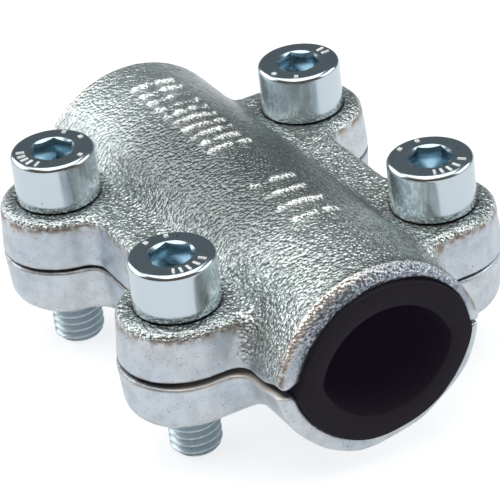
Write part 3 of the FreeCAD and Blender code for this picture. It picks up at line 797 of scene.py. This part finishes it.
def zinc_cast():
    """Bright zinc over cast iron: sparkling where the skin is rough, satin on the side walls."""
    material, tree, shader = nodes_of("zinc_cast")
    place = add_node(tree, "ShaderNodeTexCoord").outputs["Object"]
    rough, ledge_highlight = stored(tree, "rough"), stored(tree, "ledge_highlight")
    cells = add_node(tree, "ShaderNodeTexVoronoi", {"Vector": place, "Scale": 1750.0})
    depth = spread(tree, rough, 0, 1, 0.06, 1.0)
    bump = bumped(tree, cells.outputs["Distance"], depth, 0.00021, invert=True)
    gloss = spread(tree, rough, 0, 1, 0.40, 0.27)
    metal = spread(tree, rough, 0, 1, 0.92, 0.82)
    # The ledge's painted highlight is also made less metallic.
    metal = times(tree, metal, spread(tree, ledge_highlight, 0, 1, 1.0, 0.4))
    tree.links.new(cast_colour(tree, place, rough, ledge_highlight), shader.inputs["Base Color"])
    tree.links.new(metal, shader.inputs["Metallic"])
    tree.links.new(bump, shader.inputs["Normal"])
    tree.links.new(gloss, shader.inputs["Roughness"])
    return material


def cast_colour(tree, place, rough, ledge_highlight):
    """The casting's colour: two zinc tints, then mottle, grain, bands of painted shade and
    highlight, brown wear with painted reflection, pits, painted shadow, and a painted highlight on
    the ledge.
    """
    share = spread(tree, value_noise(tree, place, 110.0, 3.0), 0.35, 0.65)
    wall = blend(tree, share, WALL_BLUE, WALL_GREY)
    colour = blend(tree, rough, wall, blend(tree, share, TOP_GREEN, TOP_GREY))
    mottle = spread(tree, value_noise(tree, place, 500.0, 5.0), 0.35, 0.60, 0.30, 0.0)
    colour = blend(tree, mottle, colour, DULL)

    face = stored(tree, "end_face")
    grains = spread(tree, value_noise(tree, place, 1900.0), 0.42, 0.56, 0.65, 0.0)
    colour = blend(tree, times(tree, face, 0.35), colour, SPECK_BLUE)
    speck = blend(tree, face, SPECK_AND_SHADE, SPECK_BLUE)
    colour = blend(tree, times(tree, stored(tree, "specks"), grains), colour, speck)

    # The bands paint shade and highlights.
    for name, strength, tint in BANDS:
        colour = blend(tree, times(tree, stored(tree, name), strength), colour, tint)

    # Brown wear along the gap, and painted brown reflections on the edges and in the hollows.
    patches = spread(tree, value_noise(tree, place, 700.0, 3.0), 0.40, 0.56)
    brown_wear_and_reflection = times(tree, stored(tree, "wear_and_reflection"), patches)
    colour = blend(tree, times(tree, brown_wear_and_reflection, 0.8), colour, RUST_AND_REFLECTION)
    pits = spread(tree, value_noise(tree, place, 3000.0), 0.64, 0.74)
    colour = blend(tree, times(tree, pits, 0.8), colour, PIT)
    # Painted shadow under the screw heads and in the gap.
    colour = blend(tree, stored(tree, "painted_shadow"), colour, SHADOW_BLACK)
    # A painted highlight on the lower shell's top edge.
    return blend(tree, ledge_highlight, colour, HIGHLIGHT_CREAM)


def zinc_screw():
    """Blue-white zinc on steel: nearly a mirror on the head, duller in the socket and thread."""
    material, tree, shader = nodes_of("zinc_screw")
    place = add_node(tree, "ShaderNodeTexCoord").outputs["Object"]
    socket, shank, mark = (stored(tree, name) for name in ("socket", "shank", "mark"))
    broad = value_noise(tree, place, 250.0)
    dull = spread(tree, broad, 0, 1, 0.12, 0.24)
    for share, more in ((shank, 0.18), (mark, 0.45), (socket, 0.03)):
        dull = plus(tree, times(tree, share, more), dull)
    colour = blend(tree, socket, HEAD_BLUE, SOCKET_BLUE)
    # The raised marks on the heads are painted white, a painted highlight.
    colour = blend(tree, mark, colour, HEAD_MARK_HIGHLIGHT_WHITE)
    colour = blend(tree, shank, colour, THREAD_GREY)
    pits = spread(tree, value_noise(tree, place, 900.0, 3.0), 0.70, 0.76)
    colour = blend(tree, times(tree, pits, 0.6), colour, PIT)
    tree.links.new(colour, shader.inputs["Base Color"])
    tree.links.new(dull, shader.inputs["Roughness"])
    tree.links.new(bumped(tree, broad, 0.15, 0.0001), shader.inputs["Normal"])
    shader.inputs["Metallic"].default_value = 1.0
    return material


def rubber():
    """Matt black moulded rubber with a fine even tooth. A faint painted glow, though rubber gives
    no light, lifts its black a little.
    """
    material, tree, shader = nodes_of("rubber")
    place = add_node(tree, "ShaderNodeTexCoord").outputs["Object"]
    fine = value_noise(tree, place, 2500.0)
    tree.links.new(spread(tree, fine, 0, 1, 0.005, 0.010), shader.inputs["Base Color"])
    tree.links.new(bumped(tree, fine, 0.25, 0.00005), shader.inputs["Normal"])
    shader.inputs["Roughness"].default_value = 0.65
    shader.inputs["Specular IOR Level"].default_value = 0.15
    # Painted light: a faint purple glow from the rubber.
    shader.inputs["Emission Color"].default_value = (0.65, 0.45, 0.95, 1)
    shader.inputs["Emission Strength"].default_value = 0.0085
    return material


# ---------------------------------------------------------------- stage

def paint_floor():
    """White to the camera, and a little dimmer in the clamp's reflections."""
    material, tree, shader = nodes_of("floor_paint")
    seen = add_node(tree, "ShaderNodeLightPath").outputs["Is Camera Ray"]
    glow = spread(tree, seen, 0, 1, 0.55, 0.76)
    tree.links.new(glow, shader.inputs["Emission Strength"])
    shader.inputs["Base Color"].default_value = (0.40, 0.40, 0.41, 1)
    shader.inputs["Roughness"].default_value = 1.0
    shader.inputs["Specular IOR Level"].default_value = 0.0
    shader.inputs["Emission Color"].default_value = (0.98, 0.99, 1.0, 1)
    return material


def build_floor():
    """A wide floor just under the screw tips."""
    level, reach = SEAT_Z - SCREW_L - 0.05, 1500
    corners = [(-reach, -reach), (reach, -reach), (reach, reach), (-reach, reach)]
    mesh = mesh_from("floor", [(x, y, level) for x, y in corners], [(0, 1, 2, 3)])
    obj = bpy.data.objects.new("floor", mesh)
    bpy.context.scene.collection.objects.link(obj)
    mesh.materials.append(paint_floor())


def add_lamp(name, place, width, height, power):
    """A soft rectangular lamp that faces the middle of the clamp."""
    light = bpy.data.lights.new(name, "AREA")
    light.shape = "RECTANGLE"
    light.size, light.size_y = width * MM, height * MM
    light.energy = power
    obj = bpy.data.objects.new(name, light)
    bpy.context.scene.collection.objects.link(obj)
    obj.location = Vector(place) * MM
    middle = Vector((0, 0, 0))
    obj.rotation_mode = "QUATERNION"
    obj.rotation_quaternion = (middle - Vector(place)).to_track_quat("-Z", "Y")


# The camera looks from the front left. CAMERA_RIGHT and CAMERA_DOWN are how far its aim lies from
# the middle of the bore, as it sees them.
CAMERA_AZIMUTH = math.radians(64.409)
CAMERA_ELEVATION = math.radians(31.048)
CAMERA_ROLL = math.radians(-6.970)
CAMERA_LENS, CAMERA_DISTANCE = 212.105, 449.096
CAMERA_RIGHT, CAMERA_DOWN = 0.160, 0.946


def build_world():
    """A dim studio: grey behind the object, brownish towards the camera."""
    world = bpy.data.worlds.new("studio")
    bpy.context.scene.world = world
    world.use_nodes = True
    tree = world.node_tree
    place = add_node(tree, "ShaderNodeTexCoord").outputs["Generated"]
    towards = (math.sin(CAMERA_AZIMUTH), -math.cos(CAMERA_AZIMUTH), 0)
    front = add_node(tree, "ShaderNodeVectorMath", {0: place, 1: towards}, operation="DOT_PRODUCT")
    share = spread(tree, front.outputs["Value"], -0.4, 0.6)
    background = tree.nodes["Background"]
    tree.links.new(blend(tree, share, STUDIO_GREY, STUDIO_BROWN), background.inputs["Color"])
    background.inputs["Strength"].default_value = 1.0


def build_camera():
    """A long lens, rolled a little and aimed just below the clamp's middle."""
    azimuth, elevation, roll = CAMERA_AZIMUTH, CAMERA_ELEVATION, CAMERA_ROLL
    back = Vector((
        math.sin(azimuth) * math.cos(elevation),
        -math.cos(azimuth) * math.cos(elevation),
        math.sin(elevation),
    ))
    level = Vector((math.cos(azimuth), math.sin(azimuth), 0))
    upright = back.cross(level)
    right = math.cos(roll) * level + math.sin(roll) * upright
    up = -math.sin(roll) * level + math.cos(roll) * upright
    camera = bpy.data.cameras.new("camera")
    camera.sensor_width = 36.0
    camera.lens = CAMERA_LENS
    camera.clip_start, camera.clip_end = 0.01, 10.0
    obj = bpy.data.objects.new("camera", camera)
    bpy.context.scene.collection.objects.link(obj)
    turn = Matrix((right, up, back)).transposed().to_4x4()
    place = (back * CAMERA_DISTANCE + right * CAMERA_RIGHT - up * CAMERA_DOWN) * MM
    obj.matrix_world = Matrix.Translation(place) @ turn
    bpy.context.scene.camera = obj


def main():
    cast, steel, black = zinc_cast(), zinc_screw(), rubber()
    build_shell("upper_shell", UPPER, cast, seed=11)
    build_shell("lower_shell", LOWER, cast, seed=12)
    for name in SCREWS:
        build_screw(name, steel)
    build_sleeve(black)
    build_floor()
    build_world()
    add_lamp("overhead", (0, 0, 700), 900, 900, 4.7)
    add_lamp("behind_left", (-560, -480, 400), 900, 600, 3.4)
    add_lamp("right", (260, 580, 330), 600, 400, 1.6)
    build_camera()
    bpy.context.scene.view_settings.view_transform = "Standard"


main()
